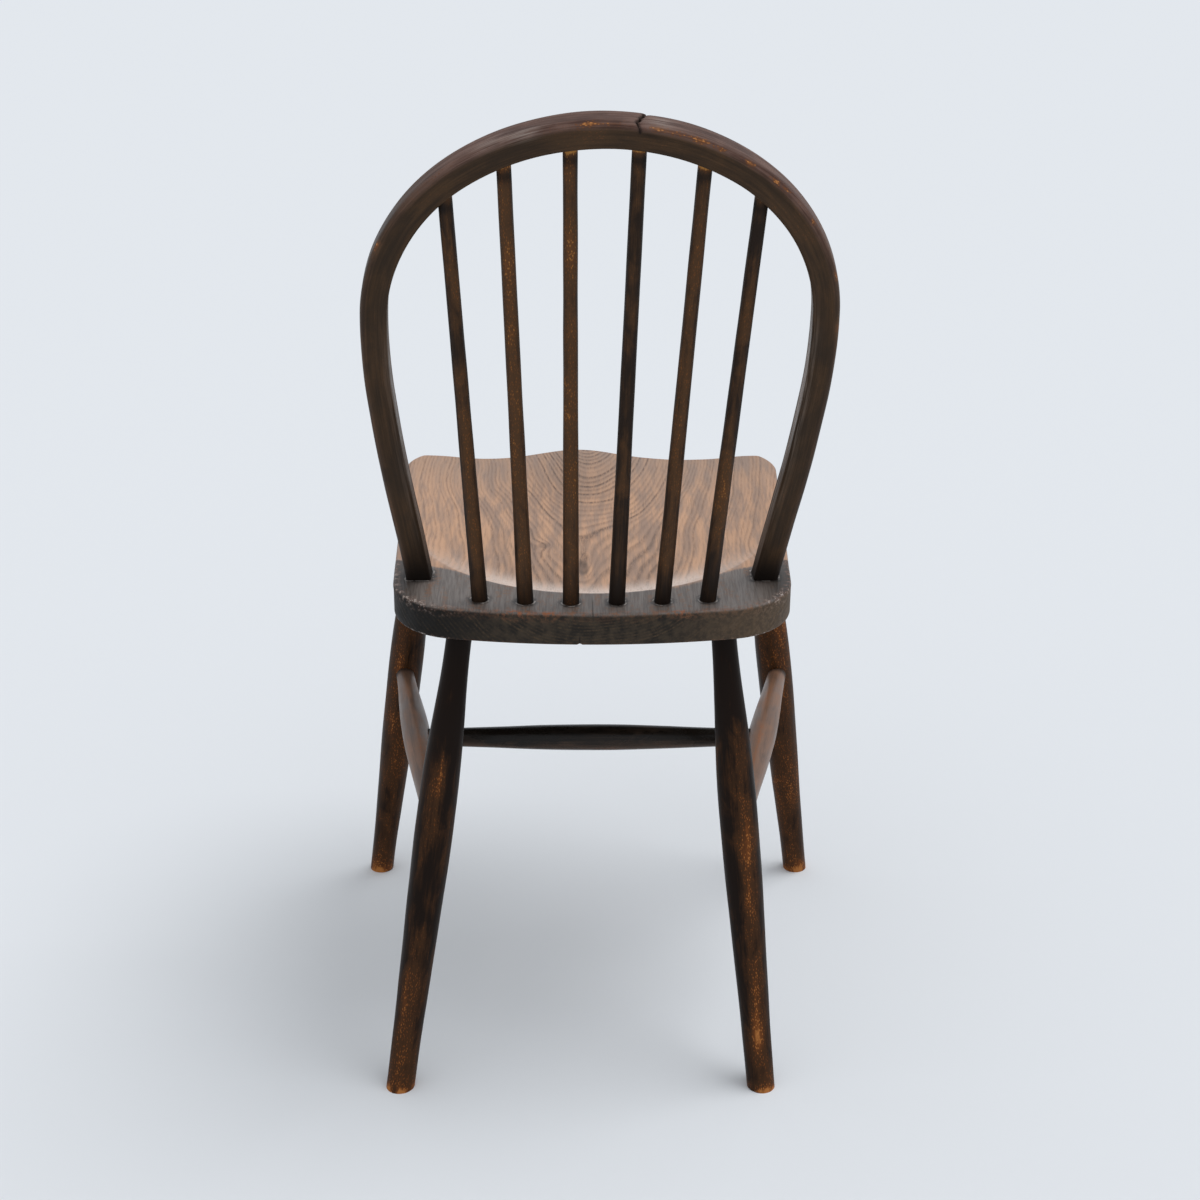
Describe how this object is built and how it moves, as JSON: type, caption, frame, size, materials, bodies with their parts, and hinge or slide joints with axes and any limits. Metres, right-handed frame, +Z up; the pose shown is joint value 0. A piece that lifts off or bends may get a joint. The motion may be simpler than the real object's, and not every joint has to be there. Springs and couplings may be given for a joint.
{
  "type": "hoop-back kitchen chair",
  "caption": "Wooden kitchen chair with a carved saddle seat, a bent bow holding a row of spindles, and splayed turned legs tied by stretchers; dark stain worn and bow cracked.",
  "frame": {"origin": "on the floor, at the centre of the chair's bounding box", "axes": "+Z up, -Y the way the sitter faces, +X the sitter's left"},
  "size_m": [0.4653, 0.4706, 0.8816],
  "materials": {
    "seat": "elm with a dark stain rubbed through to grey-brown wood over the saddle, satin wax",
    "bow": "near-black brown stain, satin, rubbed reddish along the arrises, cracked at the crown",
    "spindles": "dark brown stain, satin, orange-brown where rubbed",
    "wedges": "end grain, dull",
    "undercarriage": "near-black brown stain, satin, worn to orange-brown at the feet"
  },
  "bodies": {
    "root": {"seat": "seat", "bow": "bow", "bow_wedge_left": "wedges", "bow_wedge_right": "wedges", "spindle_1": "spindles", "spindle_2": "spindles", "spindle_3": "spindles", "spindle_4": "spindles", "spindle_5": "spindles", "spindle_6": "spindles", "leg_front_left": "undercarriage", "leg_front_right": "undercarriage", "leg_rear_left": "undercarriage", "leg_rear_right": "undercarriage", "side_stretcher_left": "undercarriage", "side_stretcher_right": "undercarriage", "cross_stretcher": "undercarriage"}
  },
  "joints": []
}
